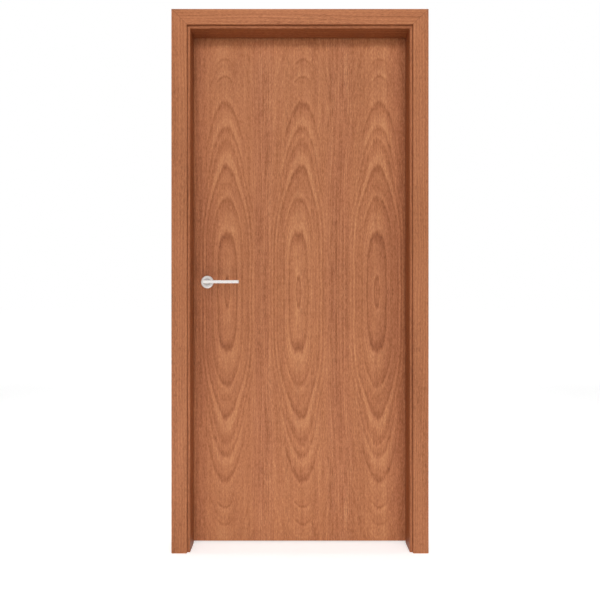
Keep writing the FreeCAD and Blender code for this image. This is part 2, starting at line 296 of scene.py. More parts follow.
white_world()
print("world", bpy.context.scene.world.name)

# %% [markdown]
# ## A pale floor
# The floor is one wide sheet that takes the door's shadow. It glows a little, for the camera and for metal
# only, so that it comes out as white as the world. Some metres off it turns from a lit surface into plain
# glow, so no edge shows where the floor meets the background. A curved backdrop would hide that edge too,
# but it would stand in the way of a view from behind.

# %% Floor
FLOOR_REACH = 30.0
FLOOR_FADE = (4.0, 5.4)
FLOOR_GREYS, FLOOR_GLOWS = (0.8, 0.1), (0.5, 1.0)


def floor_finish():
    material, bench, shader, place = new_finish("studio_floor")
    shader.inputs["Roughness"].default_value = 1.0
    shader.inputs["Specular IOR Level"].default_value = 0.0
    shader.inputs["Emission Color"].default_value = WHITE
    reach = bench.vector_math("LENGTH", place)
    bench.feed(shader.inputs["Base Color"], bench.slope(reach, *FLOOR_FADE, *FLOOR_GREYS))
    glow = bench.slope(reach, *FLOOR_FADE, *FLOOR_GLOWS)
    bench.feed(shader.inputs["Emission Strength"], bench.math("MULTIPLY", seen_directly(bench), glow))
    return material


def pale_floor():
    mesh = bpy.data.meshes.new("studio_floor")
    corners = ((-1, -1), (1, -1), (1, 1), (-1, 1))
    mesh.from_pydata([(x * FLOOR_REACH, y * FLOOR_REACH, 0) for x, y in corners], [], [(0, 1, 2, 3)])
    mesh.materials.append(floor_finish())
    floor = bpy.data.objects.new("studio_floor", mesh)
    floor.location.x = door_centre_x
    bpy.context.scene.collection.objects.link(floor)


pale_floor()
print("floor laid,", FLOOR_REACH * 2, "m wide")

# %% [markdown]
# ## Wood fibre
# Every timber surface shows the same small things: pale streaks of fibre, and short dark dashes where the
# saw opened the pores. A scanned picture would show them too, but it would have to be unwrapped on to every
# board. Noise needs no unwrapping, and it is stretched, with many waves across the grain and few along it.
# All the wood here shares this group, with its Place turned so that Z runs along the grain.

# %% Group: wood fibre
LONG_FIBRES, SHORT_FIBRES, LONG_SHARE = (170, 170, 5), (270, 270, 75), 0.25
PORE_CROWDS, CROWD_SPAN, PORES_OPEN_AT = (22, 22, 2.5), (0.35, 0.7), (0.74, 0.6)
PORE_SIZES, PORE_EDGE = [(420, 420, 40), (1500, 1500, 110)], 0.08
STREAK_HEIGHT = 0.4


def build_wood_fibre():
    bench, given, gives = new_group(
        "wood_fibre", {"Place": "Vector"}, {"Streak": "Float", "Pores": "Float", "Height": "Float"}
    )
    place = given["Place"]
    long_part = bench.math("MULTIPLY", bench.noise(place, LONG_FIBRES, 1.0), LONG_SHARE)
    short_fibres = bench.noise(place, SHORT_FIBRES, 1.0, 0.8)
    streak = bench.math("MULTIPLY_ADD", short_fibres, 1 - LONG_SHARE, long_part)
    open_at = bench.step(bench.noise(place, PORE_CROWDS), *CROWD_SPAN, *PORES_OPEN_AT)
    pores = 0.0
    for size in PORE_SIZES:
        opened = bench.step(bench.math("SUBTRACT", bench.noise(place, size), open_at), 0.0, PORE_EDGE)
        pores = bench.math("MAXIMUM", opened, pores)
    raised = bench.math("MULTIPLY", streak, STREAK_HEIGHT)
    bench.feed(gives["Streak"], streak)
    bench.feed(gives["Pores"], pores)
    bench.feed(gives["Height"], bench.math("SUBTRACT", raised, pores))


build_wood_fibre()
print("built group wood_fibre")

# %% [markdown]
# ## Growth rings
# A ring is not a stripe of even colour, as a wave texture would draw it. Going out from the heart, the wood
# darkens slowly, then breaks off in a thin pale line where the next spring began. A repeating ramp along the
# distance from the heart draws that, and each ring takes its own strength from a noise read once per ring.
# Finer hairs lie between.

# %% Group: ring tone
RING_PROFILE = [
    (0.0, 0.84), (0.1, 0.76), (0.32, 0.6), (0.65, 0.45), (0.86, 0.27), (0.95, 0.16), (1.0, 0.84)
]
STRENGTH_WAVES, STRENGTH_SPAN, RING_STRENGTHS = 3.37, (0.25, 0.75), (0.35, 1.1)
HAIR_WAVES, HAIR_DEPTH = 9.0, 0.35


def build_ring_tone():
    bench, given, gives = new_group("ring_tone", {"Rings": "Float"}, {"Tone": "Float"})
    rings = given["Rings"]
    profile = bench.ramp(bench.math("FRACT", rings), RING_PROFILE)
    own = bench.noise_line(bench.math("FLOOR", rings), STRENGTH_WAVES)
    tone = bench.swing(profile, bench.step(own, *STRENGTH_SPAN, *RING_STRENGTHS), 0.5)
    hairs = bench.noise_line(rings, HAIR_WAVES, 2.0)
    bench.feed(gives["Tone"], bench.swing(hairs, HAIR_DEPTH, tone))


build_ring_tone()
print("built group ring_tone")

# %% [markdown]
# ## The timber's colour
# The whole set is one reddish timber. Colours mixed board by board would drift apart, so one group turns a
# tone from 0 to 1 into all of them: chestnut in the late wood, a warm tan in the middle and a pale salmon in
# the spring wood. Pores go darker still, and Blush turns the tan a little towards plum, as the timber does
# in patches.

# %% Group: timber colour
def srgb(red, green, blue):
    """A colour given as 8-bit screen values, as the linear colour that a shader takes."""
    def linear(value):
        value /= 255
        return value / 12.92 if value <= 0.04045 else ((value + 0.055) / 1.055) ** 2.4
    return (linear(red), linear(green), linear(blue), 1.0)


TIMBER_STOPS = [
    (0.0, srgb(122, 69, 43)),
    (0.3, srgb(157, 95, 60)),
    (0.5, srgb(178, 112, 74)),
    (0.7, srgb(193, 127, 85)),
    (1.0, srgb(212, 150, 104)),
]
PORE_COLOUR, PORE_DEPTH = srgb(112, 63, 42), 0.45
PLUM_CAST = (0.97, 0.95, 1.0, 1.0)
DARK_ROUGHNESS, PALE_ROUGHNESS, PORE_ROUGHER = 0.5, 0.4, 0.15


def build_timber_colour():
    bench, given, gives = new_group(
        "timber_colour",
        {"Tone": "Float", "Pores": "Float", "Blush": "Float"},
        {"Colour": "Color", "Roughness": "Float"},
    )
    body = bench.ramp(given["Tone"], TIMBER_STOPS)
    body = bench.mix(given["Blush"], body, PLUM_CAST, "MULTIPLY")
    pore_share = bench.math("MULTIPLY", given["Pores"], PORE_DEPTH)
    bench.feed(gives["Colour"], bench.mix(pore_share, body, PORE_COLOUR))
    satin = bench.step(given["Tone"], 0.0, 1.0, DARK_ROUGHNESS, PALE_ROUGHNESS)
    bench.feed(gives["Roughness"], bench.math("MULTIPLY_ADD", given["Pores"], PORE_ROUGHER, satin))


build_timber_colour()
print("built group timber_colour")

# %% [markdown]
# ## Crown-cut sheets
# The leaf is faced with three sheets sliced off one log. Sliced that way, rings show as tall arches, the
# cathedrals, and here the sheets are also joined end to end at mid height, so each arch meets its own mirror
# image and makes a long pointed eye. A wave texture can't close into such eyes, so the distance from the
# log's heart is worked out directly: the height is shrunk until the eye has its slender shape, and a power
# sets how square its ends are. The power is low at the heart, a slim sliver, then higher, where the eyes are
# blunt, and lower again far off, where the arches are more pointed.

# %% Distance from the log's heart
EYE_SLENDERNESS, HEART_ROUNDING, ROUNDING_RISE = 6.0, 0.002, 0.008
HEART_POWER, BLUNT_POWER, ARCH_POWER = 1.5, 2.5, 1.7
BLUNT_SPAN, ARCH_SPAN = (0.04, 0.16), (0.2, 0.46)


def heart_distance(bench, across, away):
    """The distance from the heart, and the share of it that is height: 1 on an axis, 0 at mid height."""
    rounding = bench.math("MULTIPLY_ADD", away, ROUNDING_RISE, HEART_ROUNDING)
    reach = bench.vector_math("LENGTH", bench.join(across, rounding, 0.0))
    blunt = bench.math("MAXIMUM", bench.math("SUBTRACT", reach, rounding), 0.0)
    rise = bench.step(away, *BLUNT_SPAN, HEART_POWER, BLUNT_POWER)
    power = bench.math("MINIMUM", rise, bench.step(away, *ARCH_SPAN, BLUNT_POWER, ARCH_POWER))
    sideways = bench.math("POWER", blunt, power)
    upward = bench.math("POWER", bench.math("DIVIDE", away, EYE_SLENDERNESS), power)
    both = bench.math("ADD", sideways, upward)
    heart = bench.math("POWER", both, bench.math("DIVIDE", 1.0, power))
    return heart, bench.math("DIVIDE", upward, both)


print("eyes are about", EYE_SLENDERNESS, "times as tall as wide")

# %% [markdown]
# Each sheet has an axis of its own, which leans a little, and the outer two sheets are mirror images. A slow
# sway bends the arches, and fibre noise added to the distance tears their tips into the ragged saw edge of
# real veneer, but leaves the long flanks smooth.

# %% Group: crown-cut sheets
SHEET_WIDTH, FIRST_SHEET_EDGE, MIRROR_HEIGHT = 0.313, -0.9207, 1.0104
SHEET_AXES, LEAN_SPAN = [(0.0154, 0.0065), (-0.0085, 0.0069), (-0.0056, 0.0046)], (0.25, 0.85)
MIDDLE_SHEET, MIRRORED_SHEET = 1, 2
SWAY_WAVES, SWAY = (7, 40, 2.6), 0.014
TEAR_WAVES, TEAR = (95, 95, 5), 0.0095
NICK_WAVES, NICK = (240, 240, 12), 0.004
TIP_SPAN, TIP_TEARS = (0.6, 1.0), (0.15, 1.0)
END_TEAR_SPAN, END_TEARS = (0.7, 0.85), (1.0, 0.3)
SHEET_EDGE_SPAN = (0.092, 0.132)
NEXT_DRAW, NEXT_GRAIN = 0.02, 0.37


def build_crown_sheets():
    bench, given, gives = new_group(
        "crown_sheets",
        {"Place": "Vector"},
        {"Heart": "Float", "Crown": "Float", "Edge": "Float", "Grain Place": "Vector"},
    )
    spot = bench.split(given["Place"])
    along_row = bench.math("DIVIDE", bench.math("SUBTRACT", spot["X"], FIRST_SHEET_EDGE), SHEET_WIDTH)
    sheet = bench.math("FLOOR", along_row)
    across = bench.swing(bench.math("FRACT", along_row), SHEET_WIDTH)
    away = bench.math("ABSOLUTE", bench.math("SUBTRACT", spot["Z"], MIRROR_HEIGHT))
    for number, (axis_near, axis_far) in enumerate(SHEET_AXES):
        axis = bench.step(away, *LEAN_SPAN, -axis_near, -axis_far)
        across = bench.math("MULTIPLY_ADD", bench.math("COMPARE", sheet, number, 0.5), axis, across)
    mirrored = bench.math("COMPARE", sheet, MIRRORED_SHEET, 0.5)
    flat = bench.math("MULTIPLY", across, bench.math("MULTIPLY_ADD", mirrored, -2.0, 1.0))
    draw = bench.math("MULTIPLY", bench.math("COMPARE", sheet, MIDDLE_SHEET, 0.5), NEXT_DRAW)
    own = bench.join(flat, draw, away)

    swayed = bench.swing(bench.noise(own, SWAY_WAVES, 2.0), SWAY, flat)
    heart, crown = heart_distance(bench, swayed, away)
    torn = bench.swing(bench.noise(own, TEAR_WAVES, 3.0, 0.65), TEAR)
    torn = bench.swing(bench.noise(own, NICK_WAVES, 1.0), NICK, torn)
    torn = bench.math("MULTIPLY", torn, bench.step(crown, *TIP_SPAN, *TIP_TEARS))
    torn = bench.math("MULTIPLY", torn, bench.step(away, *END_TEAR_SPAN, *END_TEARS))
    bench.feed(gives["Heart"], bench.math("ADD", heart, torn))
    bench.feed(gives["Crown"], crown)
    bench.feed(gives["Edge"], bench.step(bench.math("ABSOLUTE", across), *SHEET_EDGE_SPAN))
    bench.feed(gives["Grain Place"], bench.join(across, bench.math("MULTIPLY", sheet, NEXT_GRAIN), away))


build_crown_sheets()
print("built group crown_sheets for", len(SHEET_AXES), "sheets")

# %% [markdown]
# ## The log's own rings
# No two rings of a log are alike, and the same few show in all three sheets. A repeating ramp would space
# them evenly, so they are listed one by one: how high above the joint each arch comes to its tip, how dark
# its line is, how pale its fringe is, and how deep it fades inward. On this timber an arch has a pale fringe
# outside, a dark line just inside it, and a slow fade to the next ring. One colour ramp along the distance
# from the heart holds them all, and a noise along the same distance gives the fine hairs between them.

# %% Group: log rings
LOG_RINGS = [
    (0.065, 1.0, 0.9, 0.03),
    (0.2425, 0.9, 1.0, 0.05),
    (0.385, 0.75, 0.7, 0.05),
    (0.448, 0.35, 0.25, 0.03),
    (0.514, 0.75, 1.0, 0.05),
    (0.617, 0.55, 0.15, 0.03),
    (0.667, 0.6, 1.0, 0.025),
    (0.769, 0.95, 0.3, 0.04),
    (0.873, 1.0, 0.8, 0.012),
    (0.942, 0.8, 0.6, 0.012),
]
LAST_RING = 1.05
FRINGE, FRINGE_SHARE = 0.01, 0.35
MIDDLE_GREY, FADED_GREY, RING_SWING = 0.5, 0.52, 0.34
HAIRS_TO_LAST_RING = 26.0


def log_ring_stops():
    """Stops of a grey ramp from the heart, 0, to the last ring, 1."""
    stops = [(0.0, MIDDLE_GREY)]
    for tip, dark, pale, fade in LOG_RINGS:
        fringe = min(FRINGE, fade * FRINGE_SHARE)
        stops.append(((tip - fade) / LAST_RING, FADED_GREY))
        stops.append(((tip - fringe) / LAST_RING, MIDDLE_GREY - RING_SWING * dark))
        stops.append(((tip + fringe) / LAST_RING, MIDDLE_GREY + RING_SWING * pale))
    return stops + [(1.0, MIDDLE_GREY)]


def build_log_rings():
    bench, given, gives = new_group("log_rings", {"Heart": "Float"}, {"Marks": "Float", "Hairs": "Float"})
    share = bench.math("DIVIDE", given["Heart"], LAST_RING / EYE_SLENDERNESS)
    bench.feed(gives["Marks"], bench.ramp(share, log_ring_stops()))
    bench.feed(gives["Hairs"], bench.noise_line(share, HAIRS_TO_LAST_RING, 2.0))


build_log_rings()
print("built group log_rings with", len(LOG_RINGS), "rings")

# %% [markdown]
# ## Satin lacquer
# Leaf and frame are finished with the same satin lacquer. It is thin, so the grain is just felt through it:
# a faint bump, a middling roughness, and less mirror than a gloss coat would give. A clear coat on top would
# hide the change of sheen between pale and dark wood, so the wood's own roughness is used instead.

# %% Lacquer
LACQUER_SPECULAR = 0.25
GRAIN_STRENGTH, GRAIN_HEIGHT = 0.25, 0.0004


def lacquer(bench, shader, colour, roughness, height):
    """Sets a satin lacquer over a timber colour."""
    bench.feed(shader.inputs["Base Color"], colour)
    bench.feed(shader.inputs["Roughness"], roughness)
    shader.inputs["Specular IOR Level"].default_value = LACQUER_SPECULAR
    bench.feed(shader.inputs["Normal"], bench.bump(height, GRAIN_STRENGTH, GRAIN_HEIGHT))


print("lacquer mixed")

# %% [markdown]
# ## The leaf's veneer
# Rings are clearest on the caps of the arches. On the flanks they thin out to fine combed lines, and of the
# outermost rings only the caps show. Towards a sheet's edge the saw ran square to the rings, so the arches
# give way to straight upright lines and a plum cast. All this could be painted by hand, but masks worked
# out from the heart's distance follow the rings wherever they go. Painted shade darkens the leaf's two long
# edges, with a little plum, over a wider strip at mid height, and painted light lifts the leaf's top and
# bottom ends a little.

# %% Where the leaf's figure shows
EYE_SPAN, EYE_FLANKS = (0.015, 0.03), (0.55, 0.3)
FLANK_SPAN, CAP_DEPTH = (0.04, 0.13), 0.66
CAP_SPAN, CAP_FEET, CAP_TOPS = (0.11, 0.145), (0.2, 0.93), (0.92, 0.99)
COMBED_SPAN, COMBED_DEPTHS, EDGE_HAIRS = (0.0, 0.8), (0.5, 0.25), 0.2
# The margin is a strip of painted shade along the leaf's long edges, wider at mid height.
MARGIN_STARTS, MARGIN_SPAN, MARGIN_WIDTHS = 0.02, (0.1, 0.5), (0.24, 0.085)


def ring_depth(bench, sheets):
    """How strongly the rings are drawn: clear on the caps, thin on the flanks, gone at a sheet's edge."""
    heart = sheets["Heart"]
    flank = bench.step(heart, *FLANK_SPAN, 1.0, 0.0)
    flank = bench.math("MULTIPLY", flank, bench.step(heart, *EYE_SPAN, *EYE_FLANKS))
    cap_foot = bench.step(heart, *CAP_SPAN, *CAP_FEET)
    cap_top = bench.step(heart, *CAP_SPAN, *CAP_TOPS)
    drawn = bench.step(sheets["Crown"], cap_foot, cap_top, flank, CAP_DEPTH)
    return bench.math("MULTIPLY", drawn, bench.math("SUBTRACT", 1.0, sheets["Edge"]))


def hair_depth(bench, sheets):
    """How strongly the combed lines are drawn: most on the flanks, least at a sheet's edge."""
    combed = bench.step(sheets["Crown"], *COMBED_SPAN, *COMBED_DEPTHS)
    return bench.math("MULTIPLY", combed, bench.step(sheets["Edge"], 0.0, 1.0, 1.0, EDGE_HAIRS))


def leaf_edge_shade(bench, place, away):
    """A mask of the painted shade along the leaf's two long edges."""
    low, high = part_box("front_skin")
    x = bench.split(place)["X"]
    inset = bench.math("MINIMUM", bench.math("SUBTRACT", x, low.x), bench.math("SUBTRACT", high.x, x))
    return bench.step(inset, MARGIN_STARTS, bench.step(away, *MARGIN_SPAN, *MARGIN_WIDTHS), 1.0, 0.0)


print("margins", MARGIN_WIDTHS[0], "m wide at mid height and", MARGIN_WIDTHS[1], "m at the ends")

# %% [markdown]
# Now the material. Each mark swings the tone about the middle by its own depth: rings, hairs, upright lines,
# broad stripes, fibres, mottle and cloud. The mottle is the shimmer that this timber shows where its fibres
# roll. Layers of mixed colours would hide one another, but swings that are added up stay easy to change.

# %% Material: leaf veneer
# The margin's tone is painted shade along the leaf's long edges.
LEAF_TONE, MARGIN_SHADE = 0.52, -0.125
# The ends' tone is painted light at the leaf's top and bottom.
END_LIGHT_SPAN, END_LIGHT = (0.5, 0.9), 0.04
LINE_WAVES, LINE_DEPTHS = (260, 20, 5), (0.2, 0.8)
STRIPE_WAVES, STRIPE_SPAN, STRIPE_DEPTH = (80, 20, 1.2), (0.06, 0.12), 0.3
STREAK_DEPTH = 1.05
MOTTLE_WAVES, MOTTLE_DEPTH = (60, 60, 42), 0.2
CLOUD_WAVES, CLOUD_DEPTH = (9, 3, 2.4), 0.15
PORE_SHARES = (0.6, 1.0)
PATCH_WAVES, PATCH_SPAN, PATCH_BLUSH, EDGE_BLUSH = (38, 38, 7), (0.4, 0.7), 0.4, 0.6


def door_veneer():
    material, bench, shader, place = new_finish("door_veneer")
    sheets = bench.group("crown_sheets", Place=place)
    grain, heart, edge = sheets["Grain Place"], sheets["Heart"], sheets["Edge"]
    fibre = bench.group("wood_fibre", Place=grain)
    rings = bench.group("log_rings", Heart=heart)
    swings = (
        (rings["Marks"], ring_depth(bench, sheets)),
        (rings["Hairs"], hair_depth(bench, sheets)),
        (bench.noise(grain, LINE_WAVES, 1.0), bench.step(edge, 0.0, 1.0, *LINE_DEPTHS)),
        (bench.noise(grain, STRIPE_WAVES, 1.0), bench.step(heart, *STRIPE_SPAN, 0.0, STRIPE_DEPTH)),
        (fibre["Streak"], STREAK_DEPTH),
        (bench.noise(place, MOTTLE_WAVES, 1.0), MOTTLE_DEPTH),
        (bench.noise(grain, CLOUD_WAVES, 1.0), CLOUD_DEPTH),
    )
    tone = LEAF_TONE
    for mark, depth in swings:
        tone = bench.swing(mark, depth, tone)
    away = bench.split(grain)["Z"]
    margin_shade = leaf_edge_shade(bench, place, away)
    # Painted light: the tone is lifted a little towards the leaf's top and bottom ends.
    tone = bench.math("ADD", tone, bench.step(away, *END_LIGHT_SPAN, 0.0, END_LIGHT))
    # Painted shade: a darker strip along the leaf's two long edges.
    tone = bench.math("MULTIPLY_ADD", margin_shade, MARGIN_SHADE, tone)
    pores = bench.math("MULTIPLY", fibre["Pores"], bench.step(edge, 0.0, 1.0, *PORE_SHARES))
    patch = bench.step(bench.noise(grain, PATCH_WAVES, 1.0), *PATCH_SPAN, 0.0, PATCH_BLUSH)
    # The blush is the timber's own plum at the sheets' edges and in patches, and a plum tint in the painted
    # shade along the leaf's long edges.
    blush = bench.math("MULTIPLY_ADD", bench.math("MAXIMUM", edge, margin_shade), EDGE_BLUSH, patch)
    finish = bench.group("timber_colour", Tone=tone, Pores=pores, Blush=blush)
    lacquer(bench, shader, finish["Colour"], finish["Roughness"], fibre["Height"])
    return material


dress(door_veneer(), "front_skin", "back_skin")
print("veneered both skins")

# %% [markdown]
# ## Bare timber
# Under the veneer the boards are pale softwood, and it shows where no one looks once the door is fixed: on
# the backs that lie against the wall, and on the top and bottom of the leaf. Both need the same colours, so
# they share this group.

# %% Group: bare timber
SOFTWOOD_STOPS = [(0.0, srgb(176, 128, 88)), (0.45, srgb(208, 164, 120)), (1.0, srgb(228, 192, 150))]
BARE_ROUGHNESS = (0.6, 0.75)


def build_bare_timber():
    bench, given, gives = new_group(
        "bare_timber", {"Tone": "Float"}, {"Colour": "Color", "Roughness": "Float"}
    )
    bench.feed(gives["Colour"], bench.ramp(given["Tone"], SOFTWOOD_STOPS))
    bench.feed(gives["Roughness"], bench.step(given["Tone"], 0.0, 1.0, *BARE_ROUGHNESS))


build_bare_timber()
print("built group bare_timber")

# %% [markdown]
# ## Marks on the frame's boards
# The wrap of veneer stops at the back of each board. The faces inside the doorway are darkened with painted
# shade, which deepens from the front edge towards the leaf. A second material on those faces would need the
# mesh cut up, so masks are worked out from where a point is and which way its face looks. The mitres run
# through the outer corners of the lining, and a hair of dark there is the joint itself, as it is along the
# seam between casing and stop. Casings and lining share one group of masks.

# %% Group: frame marks
HALF_MITRE, HALF_SEAM, HAIR_FADE = 0.0006, 0.001, (0.4, 1.6)
SEAM_DEPTHS = (0.0005, 0.001)
SQUARE_ON = (0.8, 0.9)
# The painted shade in the reveal grows from the reveal's front edge to the leaf.
REVEAL_SHADE_SPAN, REVEAL_SHADE_SHARES = (-0.055, 0.018), (0.7, 1.0)


def hair_line(bench, value, line, half_width):
    """A mask of a thin line where a value is equal to a given number."""
    off_line = bench.math("ABSOLUTE", bench.math("SUBTRACT", value, line))
    return bench.step(off_line, half_width * HAIR_FADE[0], half_width * HAIR_FADE[1], 1.0, 0.0)


def build_frame_marks():
    bench, given, gives = new_group(
        "frame_marks",
        {"Place": "Vector", "Looks": "Vector"},
        {"Behind": "Float", "Round": "Float", "Reveal Shade": "Float", "Mitre": "Float", "Seam": "Float"},
    )
    x, y, z = bench.split(given["Place"])
    looks = bench.split(given["Looks"])
    from_middle = bench.math("SUBTRACT", x, door_centre_x)
    outward = bench.math("MULTIPLY", looks["X"], bench.math("SIGN", from_middle))
    to_wall = bench.math("MULTIPLY", looks["Y"], bench.math("MULTIPLY", bench.math("SIGN", y), -1.0))
    bench.feed(gives["Behind"], bench.step(to_wall, *SQUARE_ON))
    bench.feed(gives["Round"], bench.step(bench.math("MAXIMUM", outward, looks["Z"]), *SQUARE_ON))
    # Painted shade on the faces that look into the doorway, deepening towards the leaf.
    inward = bench.math("MULTIPLY", bench.math("MINIMUM", outward, looks["Z"]), -1.0)
    shade_deepens = bench.step(y, *REVEAL_SHADE_SPAN, *REVEAL_SHADE_SHARES)
    bench.feed(gives["Reveal Shade"], bench.math("MULTIPLY", bench.step(inward, *SQUARE_ON), shade_deepens))

    side_reach = bench.math("ABSOLUTE", from_middle)
    jamb_low, jamb_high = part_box("head_jamb")
    corner = jamb_high.z - (jamb_high.x - jamb_low.x) / 2
    bench.feed(gives["Mitre"], hair_line(bench, bench.math("SUBTRACT", z, side_reach), corner, HALF_MITRE))
    stop_low, stop_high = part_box("head_stop")
    beside = hair_line(bench, side_reach, (stop_high.x - stop_low.x) / 2, HALF_SEAM)
    above = hair_line(bench, z, stop_high.z, HALF_SEAM)
    in_front = bench.step(y, *(stop_low.y + depth for depth in SEAM_DEPTHS), 1.0, 0.0)
    bench.feed(gives["Seam"], bench.math("MULTIPLY", bench.math("MAXIMUM", beside, above), in_front))


build_frame_marks()
print("built group frame_marks, with mitres", HALF_MITRE * 2000, "mm wide")

# %% [markdown]
# ## Straight veneer on the frame
# Casings, stops and jambs are wrapped in quarter-cut veneer of the same timber: lines that run the board's
# length and wander only a little. Each board could have a material of its own, but one recipe serves all of
# them. Legs keep Z along the grain; for the heads the place is turned so that the grain runs across the
# doorway, and the mitre shows where the two meet. The faces inside the doorway get a deeper, redder tint as
# painted shade, on the lining's reveals and on the casings' inner edges.

# %% Straight grain
BOARD_LINES, RING_LEAN = 0.011, 0.8
BOARD_SWAY_WAVES, BOARD_SWAY = (9, 9, 1.1), 0.05
BOARD_CLOUD_WAVES, BOARD_BLUSH = (6, 6, 2.2), 0.6
BOARD_RING_DEPTH, BOARD_STREAK_DEPTH, BOARD_CLOUD_DEPTH = 0.48, 0.8, 0.25


def straight_grain(bench, grain, lines, base):
    """Quarter-cut veneer, its lines so far apart. Returns its colours, its height and its tone's swing."""
    fibre = bench.group("wood_fibre", Place=grain)
    spot = bench.split(grain)
    depth = bench.math("MULTIPLY_ADD", spot["Y"], RING_LEAN, spot["X"])
    depth = bench.math("MULTIPLY_ADD", bench.noise(grain, BOARD_SWAY_WAVES, 2.0), BOARD_SWAY, depth)
    rings = bench.group("ring_tone", Rings=bench.math("DIVIDE", depth, lines))["Tone"]
    cloud = bench.noise(grain, BOARD_CLOUD_WAVES, 1.0)
    swing = bench.swing(rings, BOARD_RING_DEPTH)
    swing = bench.swing(fibre["Streak"], BOARD_STREAK_DEPTH, swing)
    swing = bench.swing(cloud, BOARD_CLOUD_DEPTH, swing)
    tone = bench.math("ADD", swing, base)
    blush = bench.step(cloud, *PATCH_SPAN, 0.0, BOARD_BLUSH)
    finish = bench.group("timber_colour", Tone=tone, Pores=fibre["Pores"], Blush=blush)
    return finish, fibre["Height"], swing


print("lines", BOARD_LINES * 1000, "mm apart")

# %% [markdown]
# On a casing or a jamb the marks come on top of the grain: the painted shade in the reveal first, then the
# joint, and last the bare wood on the side that lies against the wall. Upright and level boards differ only
# in the way that their grain is turned.

# %% Materials: frame boards
JOINT_COLOUR = srgb(84, 45, 30)
# Painted shade: these tints darken and redden the lining's reveals and the casings' inner edges.
REVEAL_SHADE, CASING_EDGE_SHADE = (0.8, 0.7, 0.55, 1.0), (0.75, 0.68, 0.6, 1.0)
# The lining's lower tone is painted shade, the casings' shadow on its front edge, kept on all its faces.
FRONT_TONE, LINING_SHADE_TONE = 0.5, 0.35
BARE_CONTRAST, BARE_TONE = 1.8, 0.55


def board_veneer(name, level, base, shade_tint, joint, wall):
    """A frame board's veneer. The tint it is given darkens its reveal as painted shade, and joint and wall
    name its other marks.
    """
    material, bench, shader, place = new_finish(name)
    looks = bench.lay("ShaderNodeTexCoord").outputs["Normal"]
    marks = bench.group("frame_marks", Place=place, Looks=looks)
    grain = bench.turn(place) if level else place
    finish, height, swing = straight_grain(bench, grain, BOARD_LINES, base)
    # Painted shade in the reveal.
    colour = bench.mix(marks["Reveal Shade"], finish["Colour"], shade_tint, "MULTIPLY")
    colour = bench.mix(marks[joint], colour, JOINT_COLOUR)
    bare = bench.group("bare_timber", Tone=bench.math("MULTIPLY_ADD", swing, BARE_CONTRAST, BARE_TONE))
    colour = bench.mix(marks[wall], colour, bare["Colour"])
    rougher = bench.math("SUBTRACT", bare["Roughness"], finish["Roughness"])
    roughness = bench.math("MULTIPLY_ADD", rougher, marks[wall], finish["Roughness"])
    lacquer(bench, shader, colour, roughness, height)
    return material


# The casings' inner edges take a milder painted shade.
casing = {"base": FRONT_TONE, "shade_tint": CASING_EDGE_SHADE, "joint": "Mitre", "wall": "Behind"}
leg_veneer = board_veneer("casing_veneer_upright", level=False, **casing)
head_veneer = board_veneer("casing_veneer_level", level=True, **casing)
for side in ("front", "back"):
    dress(leg_veneer, f"{side}_casing_hinge_side", f"{side}_casing_latch_side")
    dress(head_veneer, f"{side}_casing_head")
lining = {"base": LINING_SHADE_TONE, "shade_tint": REVEAL_SHADE, "joint": "Seam", "wall": "Round"}
jamb_veneer = board_veneer("lining_veneer_upright", level=False, **lining)
dress(jamb_veneer, "hinge_jamb", "latch_jamb", "hinge_side_stop", "latch_side_stop")
dress(board_veneer("lining_veneer_level", level=True, **lining), "head_jamb", "head_stop")
print("veneered the frame")

# %% [markdown]
# ## Lipping on the leaf's edges
# The stiles are solid timber of the same colour, sawn so that their lines lie closer together, so the same
# grain serves. They have no mitre and no bare side, and need none of the frame's marks.

# %% Material: edge lipping
LIPPING_LINES = 0.007


def edge_lipping():
    material, bench, shader, place = new_finish("edge_lipping")
    finish, height = straight_grain(bench, place, LIPPING_LINES, FRONT_TONE)[:2]
    lacquer(bench, shader, finish["Colour"], finish["Roughness"], height)
    return material


dress(edge_lipping(), "hinge_stile", "latch_stile")
print("lipped both stiles, with lines", LIPPING_LINES * 1000, "mm apart")

# %% [markdown]
# ## Bare softwood inside the leaf
# The rails, the lock block and the core slats are plain planed softwood. Only the rails' edges ever show, at
# the top and bottom of the leaf, so the same rings and fibres in pale yellow are enough.

# %% Material: bare softwood
SOFTWOOD_LINES, SOFTWOOD_STREAK = 0.005, 0.4
SOFTWOOD_SWAY_WAVES, SOFTWOOD_SWAY = (12, 12, 1.5), 0.02
PLANED_STRENGTH, PLANED_HEIGHT = 0.3, 0.0004


def bare_softwood():
    material, bench, shader, place = new_finish("bare_softwood")
    grain = bench.turn(place)
    fibre = bench.group("wood_fibre", Place=grain)
    sway = bench.noise(grain, SOFTWOOD_SWAY_WAVES, 1.0)
    depth = bench.math("MULTIPLY_ADD", sway, SOFTWOOD_SWAY, bench.split(grain)["Y"])
    rings = bench.group("ring_tone", Rings=bench.math("DIVIDE", depth, SOFTWOOD_LINES))["Tone"]
    bare = bench.group("bare_timber", Tone=bench.swing(fibre["Streak"], SOFTWOOD_STREAK, rings))
    bench.feed(shader.inputs["Base Color"], bare["Colour"])
    bench.feed(shader.inputs["Roughness"], bare["Roughness"])
    bench.feed(shader.inputs["Normal"], bench.bump(fibre["Height"], PLANED_STRENGTH, PLANED_HEIGHT))
    return material


dress(bare_softwood(), "top_rail", "bottom_rail", "lock_block", "core_slats")
print("left the core bare")

# %% [markdown]
# ## Brushed lines
# The handle is satin steel: a polished face drawn over a fine belt, which leaves thousands of hair lines one
# way. An anisotropic shader would need a tangent on every face, so the lines are made as they are on the
# metal, as tiny ridges and a small change of gloss.

# %% Group: brushed lines
BRUSH_WAVES, DRIFT_WAVES, LINE_SHARE = (5200, 5200, 60), (90, 90, 40), 0.6
GLOSS_SPAN, STEEL_ROUGHNESS = (0.3, 0.7), (0.24, 0.34)


